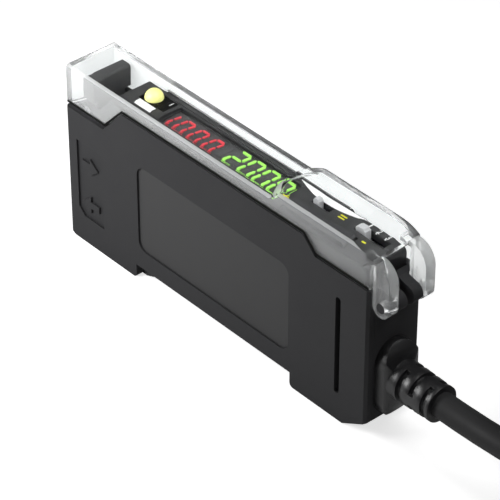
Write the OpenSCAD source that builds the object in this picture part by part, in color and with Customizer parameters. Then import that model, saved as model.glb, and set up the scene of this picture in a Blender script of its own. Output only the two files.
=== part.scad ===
// Slim fibre optic sensor amplifier for a 35 mm rail, with a clear hinged cover,
// a fibre clamp, two fibre ports, two displays, a rocker, two slide switches and a fixed cable.
// Lengths are in millimetres. X runs from the fibre end to the cable end, Z is up,
// and the label side faces -Y. The origin is under the middle of the housing and its cable boot.

/* [Housing] */
// Width across the rail
body_w = 10; // [9.8:0.1:13]
// Height of the long middle part
body_h = 29.2; // [28.4:0.1:33]
// How far the top edge drops at the fibre end
front_drop = 5; // [4.4:0.1:5.6]
// Length of the low top edge at the fibre end
front_ledge_l = 9.2; // [8.8:0.1:10]
// Length of the slope behind that low edge
front_slope_l = 4.6; // [3.6:0.1:5.2]
// How far the top edge drops at the cable end
rear_drop = 2.5; // [2.1:0.1:2.9]
// Length of the low top edge at the cable end
rear_ledge_l = 11; // [10.4:0.1:11.6]
// Thickness of the end walls and of the floor
wall = 1.2; // [1:0.05:1.4]
// Thickness of the two broad side walls
side_t = 1.4; // [1.25:0.05:1.45]
// Radius of the front bottom corner
front_corner_r = 1.5; // [0.8:0.1:2.5]

/* [Rail foot] */
// Width of the recess that takes the rail
rail_w = 35.4; // [35.2:0.1:36]
// Depth of the recess
rail_depth = 2.6; // [2.2:0.1:3]
// Length of the front foot
front_foot_l = 16.4; // [15:0.1:18]
// Length of the rear foot
rear_foot_l = 16.2; // [15:0.1:18]
// Reach of the fixed toe under the rail's edge
toe_l = 2.4; // [1.6:0.1:3]
// Reach of the snap toe under the rail's other edge
snap_toe_l = 1; // [0.6:0.1:1.4]
// Height of both toes
toe_h = 1.2; // [0.8:0.1:1.4]
// Length of the slope under the cable end
tail_slope_l = 4.8; // [3:0.1:6]
// Height of the slope under the cable end
tail_slope_h = 2.7; // [1.5:0.1:3.4]

/* [Label side] */
// Depth of the sunken label field and of the arrow pocket
sunken_d = 0.35; // [0.2:0.05:0.5]
// Distance of the label field from the fibre end
label_x = 17.1; // [15:0.1:19]
// Length of the label field
label_l = 34.3; // [28:0.1:36]
// Height of the label field's lower edge
label_z = 6; // [5:0.1:8]
// Height of the label field
label_h = 15.8; // [12:0.1:16.5]
// Corner radius of the label field
label_r = 1.8; // [0.8:0.1:3]
// Width of the vertical slot
slot_w = 1; // [0.6:0.1:1.4]
// Height of the vertical slot
slot_h = 17.4; // [12:0.1:18]

/* [Fibre ports] */
// Radius of the bore for a fibre sleeve
port_r = 1.15; // [1:0.01:1.2]
// Height of the lower fibre, which sends the light
port_z = 7.9; // [7.4:0.1:8.4]
// Distance between the two fibres
port_pitch = 7.3; // [6.6:0.1:8]
// Length of the guide block behind the front wall
block_l = 13; // [12:0.1:14]

/* [Clamp] */
// Thickness of the lever's tab along the housing
tab_t = 2.5; // [2:0.1:2.7]
// Height of the tab's top above the middle part of the housing
tab_rise = 1.3; // [0.8:0.1:1.4]
// Radius of the clamp's pin
pin_r = 0.75; // [0.6:0.05:0.85]

/* [Deck] */
// Height of the deck's top face above the housing's rim
deck_rise = 0.2; // [0.1:0.05:0.3]
// Thickness of the deck's top wall
deck_t = 1; // [0.8:0.05:1.1]
// Thickness of the printed film on the deck
film_t = 0.15; // [0.1:0.05:0.2]
// Height of a red digit
red_digit_h = 3.3; // [2.8:0.1:3.6]
// Height of a green digit
green_digit_h = 4; // [3.4:0.1:4.1]
// Radius of the output light's dome
dome_r = 1.5; // [1.2:0.1:1.6]

/* [Controls] */
// Length of the rocker button
rocker_l = 12.8; // [11:0.1:13.2]
// Width of the rocker button
rocker_w = 2.4; // [2:0.1:2.5]
// Length of the mode switch's knob
mode_knob_l = 2; // [1.6:0.1:2.2]
// Distance that the mode switch's knob slides
mode_travel = 3.6; // [3:0.1:3.8]
// Length of the output switch's knob
output_knob_l = 1.2; // [1:0.1:1.6]
// Distance that the output switch's knob slides
output_travel = 2; // [1.6:0.1:2.4]

/* [Clear cover] */
// Thickness of the cover's walls
cover_t = 0.75; // [0.6:0.05:0.85]
// Height of the cover's top above the housing's rim
cover_rise = 3; // [2.8:0.1:3.6]
// How far the raised rear part stands above the cover's top
hump_rise = 1.4; // [0.8:0.1:1.8]
// Length of the raised rear part along the middle
hump_l = 21.2; // [18:0.1:22]
// Gap under the cover's front edge, for a finger nail
nail_gap = 0.8; // [0.4:0.1:1]
// Radius of the cover's long top edges
cover_edge_r = 1.1; // [0.9:0.05:1.3]
// Thickness of a hinge ear
ear_t = 1.9; // [1.5:0.1:2]
// Radius of a hinge ear around its pivot
ear_r = 1.6; // [1.45:0.05:1.75]
// Radius of the hinge's stub axles
axle_r = 0.8; // [0.6:0.05:0.9]

/* [Cable] */
// Radius of the cable
cable_r = 2.1; // [1.8:0.1:2.3]
// Height of the cable's axis where it leaves the boot
cable_z = 10.2; // [9.6:0.1:11]
// Height of the oval dome around the cable
flange_h = 13; // [11:0.1:13.4]
// Width of the oval dome
flange_w = 6.8; // [6.4:0.1:7]
// How far the oval dome stands out
flange_d = 3; // [2.4:0.1:3.4]
// Length of the ribbed boot
boot_l = 7.3; // [6.8:0.1:9]
// Radius of the boot at its root
boot_r = 3.2; // [2.8:0.05:3.3]

/* [Hidden] */
$fn = 48;

// Small gaps: between seated pieces, around sliding ones and in turning ones,
// and the overrun of every cut.
seat_gap = 0.05;
slide_gap = 0.15;
turn_gap = 0.05;
over = 1;
// Corner radius of the narrow slot, as a share of its width
round_end_share = 0.44;

// Main places along the housing and across it.
body_l = front_foot_l + rail_w + rear_foot_l;
mid_y = body_w / 2;
far_y = body_w - side_t;
floor_z = rail_depth + wall;
front_top_z = body_h - front_drop;
rear_top_z = body_h - rear_drop;
rear_ledge_x = body_l - rear_ledge_l;
rear_slope_x = rear_ledge_x - rear_drop;
front_slope_x = front_ledge_l + front_slope_l;
rail_x = front_foot_l;
rail_end_x = rail_x + rail_w;
boot_end_x = body_l + flange_d + boot_l;
origin_x = boot_end_x / 2;
foot_corner_r = 0.8;
toe_lift = 0.2;
edge_chamfer = 0.6;

// The arrow pocket and the slot of the side cover.
arrow_l = 3.9;
arrow_head_l = 1.9;
arrow_head_w = 3.1;
arrow_shaft_w = 1.2;
pocket_x = 2.4;
pocket_l = 6.2;
pocket_z = 5;
pocket_h = 14;
pocket_cut = 1.4;
slot_end_l = 6.6;
slot_x = body_l - slot_end_l;
slot_z = 4.9;

// The cover's place around the deck.
cover_inset = 0.2;
cover_gap = 0.3;
cover_front_x = 0.3;
cover_end_gap = 0.1;
cover_end_x = body_l - cover_end_gap;
cover_top_z = body_h + cover_rise;
cover_edge_share = 0.7;
hump_top_z = cover_top_z + hump_rise;
hump_x = body_l - hump_l;
hump_slope_l = 1.2;
hump_front_r = mid_y + cover_inset;
hump_fall_l = 7;
hump_fall_x = body_l - hump_fall_l;
hump_fall_share = 1.15;
base_end_l = 6;
base_end_x = body_l - base_end_l;
ear_slit = 0.3;
ear_front_x = body_l + ear_slit;
ear_back_x = ear_front_x + 2 * ear_r;
ear_inset = 0.5;
pivot_x = ear_front_x + ear_r;
pivot_drop = 2;
pivot_z = rear_top_z - pivot_drop;
ear_neck_l = 1.8;
ear_neck_h = 0.9;
ear_top_z = hump_top_z - hump_fall_share * hump_rise;
lug_r = 1.5;
lug_w = 1.75;
lug_y = ear_inset + ear_t + seat_gap + slide_gap;

// The deck: a low front end, a ramp and a long top with a rounded rear edge.
deck_z = body_h + deck_rise;
deck_x = 6.6;
deck_low_rise = 2.4;
deck_low_z = front_top_z + deck_low_rise;
deck_ramp_x = 7.3;
deck_ramp_end_x = 10;
deck_end_l = 1.6;
deck_end_x = body_l - deck_end_l;
deck_edge_r = 1;
skirt_drop = 1.4;
skirt_z = front_top_z - skirt_drop;
skirt_t = 0.6;
deck_near_y = side_t + seat_gap;
deck_far_y = far_y - seat_gap;
deck_side_gap = 0.2;
deck_out_y = cover_inset + cover_t + deck_side_gap;
bay_near_y = deck_near_y + skirt_t;
bay_far_y = deck_far_y - skirt_t;

// The clamp: its pin, its cheeks, the lever and the gripper that the lever drives.
clamp_x = 4.2;
clamp_rise = 0.6;
clamp_z = front_top_z + clamp_rise;
cheek_x = 2;
cheek_rise = 2;
cheek_top_z = front_top_z + cheek_rise;
cheek_t = 0.8;
cheek_cut = 1.4;
hub_r = 1.3;
tab_front_l = 0.9;
tab_x = clamp_x - tab_front_l;
tab_gap = 0.3;
tab_z = deck_low_z + tab_gap;
tab_top_z = body_h + tab_rise;
tab_edge_r = 0.5;
finger_reach = 0.5;
finger_x = clamp_x + finger_reach;
finger_l = 1.2;
finger_drop = 1.75;
finger_z = clamp_z - finger_drop;
gripper_l = 1.6;
gripper_w = 4;
gripper_neck_w = 2;
gripper_foot_gap = 1.1;
gripper_foot_z = floor_z + gripper_foot_gap;
gripper_hole_gap = 0.25;
gripper_hole_r = port_r + gripper_hole_gap;
block_over_h = 5.3;
block_top_z = port_z + port_pitch + block_over_h;
optic_l = 1.4;
optic_base_t = 0.6;

// The window, the displays under it and the output light in front of them.
rocker_end_l = 20.4;
rocker_x = body_l - rocker_end_l;
bezel_x = 12.4;
bezel_l = 4.1;
bezel_gap = 0.2;
window_x = bezel_x + bezel_l + bezel_gap;
window_end_gap = 1.5;
window_l = rocker_x - window_end_gap - window_x;
window_t = 0.5;
window_ledge = 0.4;
window_w = 5;
window_far_gap = 0.15;
window_far_y = bay_far_y + window_far_gap;
window_near_y = window_far_y - window_w;
digit_t = 0.2;
digit_margin = 0.35;
digit_y = bay_far_y - digit_margin - green_digit_h;
digit_w_share = 0.62;
stroke_share = 0.1;
bar_end_share = 0.3;
slant_share = 0.16;
red_margin = 1.2;
row_gap = 1.6;
row_end_gap = 0.6;
digit_pitch = (window_l - red_margin - row_gap - row_end_gap) / 8;
red_x = window_x + red_margin;
green_x = red_x + 4 * digit_pitch + row_gap;
bezel_w = 3.2;
bezel_t = 1;
bezel_far_y = bay_far_y - seat_gap;
dome_shift = 0.35;
dome_x = bezel_x + bezel_l / 2 - dome_shift;
dome_y = bezel_far_y - bezel_w / 2;
dome_step = 0.3;
led_h = 1.1;

// The boards and what they carry.
board_t = 1;
board_x = 18.6;
board_end_l = 5.5;
board_end_x = body_l - board_end_l;
rib_l = 1.2;
board_far_y = far_y - rib_l;
board_gap = 0.4;
board_z = floor_z + board_gap;
board_top_z = skirt_z - board_gap;
upper_board_t = 0.8;
upper_board_lift = 0.6;
upper_board_z = skirt_z + upper_board_lift;
upper_board_x = 11.4;
upper_board_end_x = deck_end_x - deck_t - seat_gap;
module_z = upper_board_z + upper_board_t;
module_top_z = deck_z - deck_t - seat_gap;
face_z = deck_z - window_t - seat_gap - digit_t;
rib_t = 1.2;
boss_r = 1.5;
boss_gap = 0.65;
peg_r = 0.8;
peg_l = 2.6;
// Where the pegs of the side cover go, as [x, z]
peg_places = [[board_x - boss_r - boss_gap, skirt_z - boss_r],
    [board_x - boss_r - boss_gap, floor_z + boss_r],
    [body_l - wall - boss_r, skirt_z - boss_r],
    [body_l - wall - boss_r, floor_z + peg_r + slide_gap]];
// Chips as place along the board, place up the board, length, height and thickness
chip_t = 1;
controller_at = [12, 7];
controller_w = 7;
controller_legs = 8;
regulator_at = [25, 11];
regulator_w = 4.4;
regulator_h = 3.4;
transistor_at = [33, 2.5];
transistor_w = 2.9;
transistor_h = 1.6;
transistor_pitch = 4.5;
small_chip_legs = 3;
header_at = 6;
header_l = 12;
header_h = 1.6;
header_t = 1.6;
header_pins = 8;
header_pin_w = 0.5;

// The controls at the rear of the deck.
rocker_mid_x = rocker_x + rocker_l / 2;
rocker_y = bay_near_y + slide_gap;
rocker_rise = 0.7;
rocker_top_z = deck_z + rocker_rise;
rocker_t = 1.5;
rocker_edge = 0.3;
rocker_dish = 0.25;
rocker_axle_r = 0.5;
rocker_axle_z = deck_z - deck_t - rocker_axle_r - 2 * turn_gap;
rocker_arm = 4.5;
plunger_r = 0.6;
plunger_gap = 0.35;
button_l = 3;
button_w = 2.2;
button_h = 1.4;
bearing_t = 0.6;
knob_rise = 0.9;
knob_top_h = 0.3;
knob_top_share = 0.2;
switch_far_y = bay_far_y - slide_gap;
switch_w = 2.2;
switch_h = 3.6;
switch_margin = 0.8;
mode_end_l = 9.3;
mode_x = body_l - mode_end_l;
mode_knob_w = 1.2;
output_end_l = 18.2;
output_x = body_l - output_end_l;
output_knob_w = 1;
knob_y = switch_far_y - switch_w / 2;
track_d = 1;
field_end_l = 23.2;
field_x = body_l - field_end_l;
field_l = 13.6;
field_w = 1.3;

// The cable: its boot, the free stretch, the oblong coil past the cable end and the bare leads.
boot_tip_r = 2.95;
boot_core_r = 2.5;
boot_slots = 3;
slot_pitch = 2.4;
slot_gap = 0.95;
bridge_w = 1.7;
gland_r = 2.9;
gland_gap = 0.05;
gland_lip_r = 3.5;
gland_lip_t = 1.2;
core_r = 0.35;
core_l = 6;
tie_t = 0.6;
tie_w = 4.8;
coil_columns = 2;
coil_layers = 6;
coil_run_l = 44;
coil_turn_r = 17.8;
coil_column_pitch = 4.4;
coil_layer_pitch = 4.3;
coil_inner_r = coil_turn_r - (coil_columns - 1) * coil_column_pitch - cable_r;
coil_outer_r = coil_turn_r + cable_r;
coil_top_z = tie_t + 2 * cable_r + (coil_layers - 1) * coil_layer_pitch;
lead_r = 0.55;
lead_l = 16;
lead_pitch = 1.3;
// Place of the middle lead, from the middle of the coil
lead_x = -19;
lead_y = coil_inner_r - 2 * lead_pitch - lead_r - seat_gap;
// Points of the cable's first stretch, from where it leaves the boot
cable_route = [[0, 0, 0], [4, 0, 0], [8, 0, 0.1], [12, 0, 0.32], [16, 0, 0.6]];
cable_x = boot_end_x - origin_x;
cable_free_l = 27.8;
coil_at = [cable_x + cable_free_l, coil_turn_r];

// Points of an arc around c, from angle a0 to a1
function arc(c, r, a0, a1, n = 6) =
    [for (i = [0:n]) let (a = a0 + (a1 - a0) * i / n) c + r * [cos(a), sin(a)]];

// Moves a piece from the housing's front bottom corner to the shared origin
module place() {
    translate([-origin_x, -mid_y, 0]) children();
}

// An outline in X and Z, given a thickness from y0 to y1
module slab(y0, y1) {
    translate([0, y1, 0])
        rotate([90, 0, 0])
            linear_extrude(height = y1 - y0) children();
}

// A box from its lowest to its highest corner
module block(lo, hi) {
    translate(lo) cube(hi - lo);
}

// A rod along X or along Y
module rod_x(x0, x1, y, z, r) {
    translate([x0, y, z]) rotate([0, 90, 0]) cylinder(r = r, h = x1 - x0);
}

module rod_y(x, y0, y1, z, r) {
    translate([x, y0, z]) rotate([-90, 0, 0]) cylinder(r = r, h = y1 - y0);
}

// A rounded rectangle made of two bars and four discs
module rounded(x, y, l, w, r) {
    translate([x + r, y]) square([l - 2 * r, w]);
    translate([x, y + r]) square([l, w - 2 * r]);
    for (cx = [x + r, x + l - r], cy = [y + r, y + w - r])
        translate([cx, cy]) circle(r = r);
}

// Side view of the housing with its two feet and the stepped top edge
module body_outline() {
    polygon(concat(
        arc([front_corner_r, front_corner_r], front_corner_r, 180, 270),
        arc([rail_x - foot_corner_r, foot_corner_r], foot_corner_r, 270, 360, 4),
        [[rail_x, rail_depth], [rail_end_x, rail_depth]],
        arc([rail_end_x + foot_corner_r, foot_corner_r], foot_corner_r, 180, 270, 4),
        [[body_l - tail_slope_l, 0], [body_l, tail_slope_h], [body_l, rear_top_z],
            [rear_ledge_x, rear_top_z], [rear_slope_x, body_h], [front_slope_x, body_h],
            [front_ledge_l, front_top_z], [0, front_top_z]]));
}

// A toe that reaches under the rail from x by l, sloped on its lower side
module rail_toe(x, l) {
    slab(side_t, body_w)
        polygon([[x, toe_lift], [x + l / 2, toe_lift], [x + l, toe_lift + toe_h / 2],
            [x + l, toe_h], [x, toe_h]]);
}

// Both toes overlap the feet a little so that they are one piece with them
module rail_toes() {
    rail_toe(rail_x - foot_corner_r, toe_l + foot_corner_r);
    translate([rail_end_x + foot_corner_r, 0, 0])
        mirror([1, 0, 0]) rail_toe(0, snap_toe_l + foot_corner_r);
}

// One hinge lug on the end wall, with a stub axle that points outwards
module hinge_lug() {
    rod_y(pivot_x, lug_y, lug_y + lug_w, pivot_z, lug_r);
    rod_y(pivot_x, ear_inset + seat_gap, lug_y + lug_w / 2, pivot_z, axle_r);
    slab(lug_y, lug_y + lug_w)
        polygon([[body_l - wall / 2, pivot_z - 2 * lug_r], [body_l, pivot_z - 2 * lug_r],
            [pivot_x + lug_r / 2, pivot_z - lug_r * sin(60)],
            [pivot_x + lug_r / 2, pivot_z + lug_r * sin(60)],
            [body_l, rear_top_z], [body_l - wall / 2, rear_top_z]]);
}

module main_housing() {
    color([0.1, 0.1, 0.11]) place() {
        difference() {
            union() {
                slab(side_t, body_w) body_outline();
                rail_toes();
                hinge_lug();
                translate([0, body_w, 0]) mirror([0, 1, 0]) hinge_lug();
            }
            block([-over, 0, floor_z], [body_l - wall, far_y, body_h + over]);
            rod_x(body_l - wall - over, body_l + over, mid_y, cable_z, gland_r + gland_gap);
        }
        for (p = peg_places)
            difference() {
                rod_y(p[0], side_t + peg_l / 2, far_y, p[1], boss_r);
                rod_y(p[0], 0, side_t + peg_l + slide_gap, p[1], peg_r + turn_gap);
            }
        for (x = [deck_x + deck_t + board_x / 2, board_end_x - 2 * rib_t, body_l / 2])
            block([x, board_far_y, floor_z], [x + rib_t, far_y, skirt_z]);
    }
}

// A block arrow that points to +X, with its tail at the origin
module arrow_outline() {
    polygon([[0, -arrow_shaft_w / 2], [arrow_l - arrow_head_l, -arrow_shaft_w / 2],
        [arrow_l - arrow_head_l, -arrow_head_w / 2], [arrow_l, 0],
        [arrow_l - arrow_head_l, arrow_head_w / 2],
        [arrow_l - arrow_head_l, arrow_shaft_w / 2], [0, arrow_shaft_w / 2]]);
}

module arrow_pocket() {
    slab(-over, sunken_d) {
        difference() {
            polygon([[pocket_x + pocket_cut, pocket_z], [pocket_x + pocket_l, pocket_z],
                [pocket_x + pocket_l, pocket_z + pocket_h], [pocket_x, pocket_z + pocket_h],
                [pocket_x, pocket_z + pocket_cut]]);
            translate([pocket_x + pocket_l / 2 - arrow_l / 2, port_z + port_pitch])
                arrow_outline();
            translate([pocket_x + pocket_l / 2 + arrow_l / 2, port_z])
                mirror([1, 0]) arrow_outline();
        }
    }
}

module side_cover() {
    color([0.16, 0.16, 0.17]) place() {
        difference() {
            slab(0, side_t) body_outline();
            slab(-over, sunken_d) rounded(label_x, label_z, label_l, label_h, label_r);
            arrow_pocket();
            slab(-over, side_t + over) rounded(slot_x, slot_z, slot_w, slot_h, slot_w * round_end_share);
            for (x = [0, body_l])
                translate([x, 0, body_h / 2]) rotate([0, 0, 45])
                    cube([edge_chamfer, edge_chamfer, 2 * body_h], center = true);
        }
        for (p = peg_places)
            rod_y(p[0], side_t - seat_gap, side_t + peg_l, p[1], peg_r);
    }
}

// Side view of the deck, d smaller on the sides that its wall runs round
module deck_outline(d) {
    lowest_z = d > 0 ? skirt_z - over : skirt_z;
    r = deck_edge_r - d / 2;
    polygon(concat(
        [[deck_x + d, lowest_z], [deck_end_x - d, lowest_z]],
        arc([deck_end_x - d - r, deck_z - d - r], r, 0, 90),
        [[deck_ramp_end_x + d / 2, deck_z - d], [deck_ramp_x + d / 2, deck_low_z - d],
            [deck_x + d, deck_low_z - d]]));
}

// Two cheeks carry the clamp's pin in front of the deck
module deck_cheeks() {
    for (y = [deck_near_y, deck_far_y - cheek_t])
        slab(y, y + cheek_t)
            polygon([[cheek_x, skirt_z], [deck_x + deck_t, skirt_z],
                [deck_x + deck_t, cheek_top_z], [cheek_x + cheek_cut, cheek_top_z],
                [cheek_x, cheek_top_z - cheek_cut]]);
}

// Openings of the deck's top wall, from z0 to z1, each g wider all round
module deck_openings(z0, z1, g) {
    block([bezel_x - g, bezel_far_y - bezel_w - g, z0],
        [bezel_x + bezel_l + g, bezel_far_y + g, z1]);
    block([rocker_x - slide_gap - g, rocker_y - slide_gap, z0],
        [rocker_x + rocker_l + slide_gap + g, rocker_y + rocker_w + slide_gap + g, z1]);
    block([mode_x - slide_gap - g, knob_y - mode_knob_w / 2 - slide_gap - g, z0],
        [mode_x + mode_knob_l + mode_travel + slide_gap + g,
            knob_y + mode_knob_w / 2 + slide_gap + g, z1]);
    block([output_x - slide_gap - g, knob_y - output_knob_w / 2 - slide_gap - g, z0],
        [output_x + output_knob_l + output_travel + slide_gap + g,
            knob_y + output_knob_w / 2 + slide_gap + g, z1]);
}

module top_deck() {
    color([0.14, 0.14, 0.15]) place() {
        difference() {
            union() {
                slab(deck_near_y, deck_far_y) deck_outline(0);
                slab(deck_out_y, body_w - deck_out_y)
                    difference() {
                        deck_outline(0);
                        body_outline();
                    }
                deck_cheeks();
            }
            slab(bay_near_y, bay_far_y) deck_outline(deck_t);
            deck_openings(deck_z - 2 * deck_t, deck_z + over, 0);
            block([window_x, window_near_y, deck_z - window_t],
                [window_x + window_l, window_far_y, deck_z + over]);
            block([window_x + window_ledge, window_near_y + window_ledge, deck_z - 2 * deck_t],
                [window_x + window_l - window_ledge, window_far_y - window_ledge, deck_z]);
            rod_y(clamp_x, 0, body_w, clamp_z, pin_r + turn_gap / 2);
            rod_y(rocker_mid_x, deck_near_y - over, bay_near_y + over, rocker_axle_z,
                rocker_axle_r + turn_gap);
        }
        difference() {
            block([rocker_mid_x - 2 * rocker_axle_r, rocker_y + rocker_w + slide_gap,
                    rocker_axle_z - 2 * rocker_axle_r],
                [rocker_mid_x + 2 * rocker_axle_r, rocker_y + rocker_w + slide_gap + bearing_t,
                    deck_z - deck_t / 2]);
            rod_y(rocker_mid_x, rocker_y, body_w, rocker_axle_z, rocker_axle_r + turn_gap);
        }
    }
}

module face_film() {
    color([0.29, 0.29, 0.29]) place()
        difference() {
            block([deck_ramp_end_x + film_t, deck_out_y + film_t, deck_z],
                [deck_end_x - deck_edge_r, body_w - deck_out_y - film_t, deck_z + film_t]);
            deck_openings(deck_z - over, deck_z + over, film_t / 2);
            block([window_x - film_t / 2, window_near_y - film_t / 2, deck_z - over],
                [window_x + window_l + film_t / 2, window_far_y + film_t / 2, deck_z + over]);
        }
}

// A printed field with a straight far edge and a bowed near edge
module white_field() {
    far_edge_y = body_w - deck_out_y - 2 * film_t;
    bow_r = (field_l * field_l / 4 + field_w * field_w) / (2 * field_w);
    bow_a = asin(field_l / 2 / bow_r);
    color([0.95, 0.95, 0.94]) place()
        translate([0, 0, deck_z + film_t])
            linear_extrude(height = film_t / 2)
                polygon(arc([field_x + field_l / 2, far_edge_y + bow_r - field_w], bow_r,
                    270 - bow_a, 270 + bow_a, 16));
}

module display_window() {
    color([0.2, 0.2, 0.21, 0.6]) place()
        block([window_x + seat_gap, window_near_y + seat_gap, deck_z - window_t],
            [window_x + window_l - seat_gap, window_far_y - seat_gap, deck_z + film_t]);
}

// A display's block, whose face stands in the deck's opening from x0 to x1
module display_block(x0, x1) {
    near_y = window_near_y + window_ledge + seat_gap;
    block([x0, near_y, module_z], [x1, bay_far_y - seat_gap, module_top_z]);
    block([x0, near_y, module_z], [x1, window_far_y - window_ledge - seat_gap, face_z]);
}

module red_display() {
    color([0.12, 0.1, 0.1]) place()
        display_block(window_x + window_ledge + seat_gap, green_x - row_gap / 2 - seat_gap);
}

module green_display() {
    color([0.1, 0.12, 0.1]) place()
        display_block(green_x - row_gap / 2, window_x + window_l - window_ledge - seat_gap);
}

// Seven bars as [x0, y0, x1, y1] in shares of a digit's width and height
bar_shares = [[0, 1, 1, 1], [1, 0.5, 1, 1], [1, 0, 1, 0.5], [0, 0, 1, 0],
    [0, 0, 0, 0.5], [0, 0.5, 0, 1], [0, 0.5, 1, 0.5]];
// Which bars each shown figure lights
lit_bars = [["0", [0, 1, 2, 3, 4, 5]], ["1", [1, 2]], ["2", [0, 1, 3, 4, 6]]];

// One bar with pointed ends between two corners of a digit
module bar(p, q, t) {
    d = (q - p) / norm(q - p);
    n = [-d[1], d[0]];
    a = p + d * t * bar_end_share;
    b = q - d * t * bar_end_share;
    polygon([for (v = [a, a + (d + n) * t / 2, b + (n - d) * t / 2, b,
        b - (n + d) * t / 2, a + (d - n) * t / 2]) [v[0] + v[1] * slant_share, v[1]]]);
}

module figure(name, h) {
    t = h * stroke_share;
    w = h * digit_w_share - t;
    for (entry = lit_bars)
        if (entry[0] == name)
            for (i = entry[1])
                bar([bar_shares[i][0] * w, bar_shares[i][1] * (h - t)],
                    [bar_shares[i][2] * w, bar_shares[i][3] * (h - t)], t);
}

// A row of four figures that stands on the same near edge as the other row
module figure_row(x, names, h) {
    for (i = [0:3])
        translate([x + i * digit_pitch, digit_y + h * stroke_share / 2, face_z])
            linear_extrude(height = digit_t) figure(names[i], h);
}

module red_digits() {
    color([0.85, 0.2, 0.22]) place() figure_row(red_x, ["1", "0", "0", "0"], red_digit_h);
}

module green_digits() {
    color([0.6, 0.9, 0.35]) place() figure_row(green_x, ["2", "0", "0", "0"], green_digit_h);
}

module led_bezel() {
    color([0.05, 0.05, 0.05]) place()
        difference() {
            block([bezel_x + seat_gap, bezel_far_y - bezel_w + seat_gap, deck_z - bezel_t],
                [bezel_x + bezel_l - seat_gap, bezel_far_y - seat_gap, deck_z + film_t]);
            translate([dome_x, dome_y, 0]) cylinder(r = dome_r - dome_step + seat_gap, h = 2 * body_h);
        }
}

// A domed light guide whose stem goes through the bezel
module output_led_lens() {
    dome_z = deck_z + film_t;
    color([0.98, 0.92, 0.45]) place() translate([dome_x, dome_y, 0])
        rotate_extrude()
            polygon(concat([[0, module_z + led_h], [dome_r - dome_step, module_z + led_h],
                [dome_r - dome_step, dome_z], [dome_r, dome_z]],
                arc([0, dome_z], dome_r, 0, 90, 10)));
}

module output_led() {
    color([0.9, 0.9, 0.85]) place() translate([dome_x, dome_y, module_z])
        difference() {
            translate([-dome_r / 2, -dome_r / 2, 0]) cube([dome_r, dome_r, led_h]);
            translate([0, 0, led_h - optic_base_t / 3]) cylinder(r = dome_r / 3, h = over);
        }
}

// Side view of the cover's low part, d smaller all round
module cover_low_outline(d) {
    z_top = cover_top_z - d;
    x0 = cover_front_x + d;
    r = cover_edge_r - d;
    drop = d > 0 ? over : 0;
    polygon(concat(
        [[x0, front_top_z + nail_gap - drop], [front_ledge_l + cover_gap, front_top_z + nail_gap - drop],
            [front_slope_x, body_h + cover_gap - drop],
            [base_end_x, body_h + cover_gap - drop], [base_end_x, z_top]],
        arc([x0 + r, z_top - r], r, 90, 180)));
}

// Side view of the cover's raised part, which falls in an arc towards the hinge
module cover_hump_outline(d) {
    drop = d > 0 ? over : 0;
    fall = hump_fall_share * hump_rise;
    run = cover_end_x - hump_fall_x;
    fall_r = (run * run + fall * fall) / (2 * fall);
    fall_a = asin(run / fall_r);
    polygon(concat(
        [[hump_x - over, body_h + cover_gap - drop], [rear_slope_x, body_h + cover_gap - drop],
            [rear_ledge_x, rear_top_z + cover_gap - drop],
            [cover_end_x + drop, rear_top_z + cover_gap - drop],
            [cover_end_x + drop, hump_top_z - fall - d]],
        arc([hump_fall_x, hump_top_z - fall_r], fall_r - d, 90 - fall_a, 90),
        [[hump_x - over, hump_top_z - d]]));
}

// End view of the cover up to a given height, with rounded top edges
module cover_section(z_top, d) {
    r = cover_edge_r - d * cover_edge_share;
    y0 = cover_inset + d;
    rotate([90, 0, 90]) linear_extrude(height = 2 * body_l)
        polygon(concat([[y0, 0], [body_w - y0, 0]],
            arc([body_w - y0 - r, z_top - d - r], r, 0, 90),
            arc([y0 + r, z_top - d - r], r, 90, 180)));
}

// The raised part's length: its front is a cone's slope, so its edge is bowed
module hump_reach(d) {
    run = hump_slope_l / hump_rise;
    r = hump_front_r - d * norm([1, run]);
    x = hump_x + hump_front_r;
    translate([x, mid_y, cover_top_z - hump_rise])
        cylinder(r1 = r + 2 * hump_slope_l, r2 = r - run * over, h = 2 * hump_rise + over);
    block([x, 0, 0], [body_l + over, body_w, 2 * body_h]);
}

module cover_form(d) {
    intersection() {
        slab(0, body_w) cover_low_outline(d);
        cover_section(cover_top_z, d);
    }
    intersection() {
        slab(0, body_w) cover_hump_outline(d);
        cover_section(hump_top_z, d);
        hump_reach(d);
    }
}

// A hinge ear: a rounded rim above, a round end about the pivot below, a neck to the cover
module ear_outline() {
    neck_x = cover_end_x - ear_neck_l;
    shoulder_r = ear_back_x - ear_front_x;
    difference() {
        polygon(concat(
            arc([pivot_x, pivot_z], ear_r, 180, 360, 12),
            arc([ear_front_x, ear_top_z - shoulder_r], shoulder_r, 0, 90, 8),
            [[neck_x, ear_top_z], [neck_x, ear_top_z - ear_neck_h],
                [ear_front_x, ear_top_z - ear_neck_h]]));
        translate([pivot_x, pivot_z]) circle(r = axle_r + turn_gap);
    }
}

module dust_cover() {
    color([0.85, 0.88, 0.9, 0.35]) place() {
        difference() {
            cover_form(0);
            cover_form(cover_t);
        }
        slab(ear_inset, ear_inset + ear_t) ear_outline();
        slab(body_w - ear_inset - ear_t, body_w - ear_inset) ear_outline();
    }
}

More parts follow.
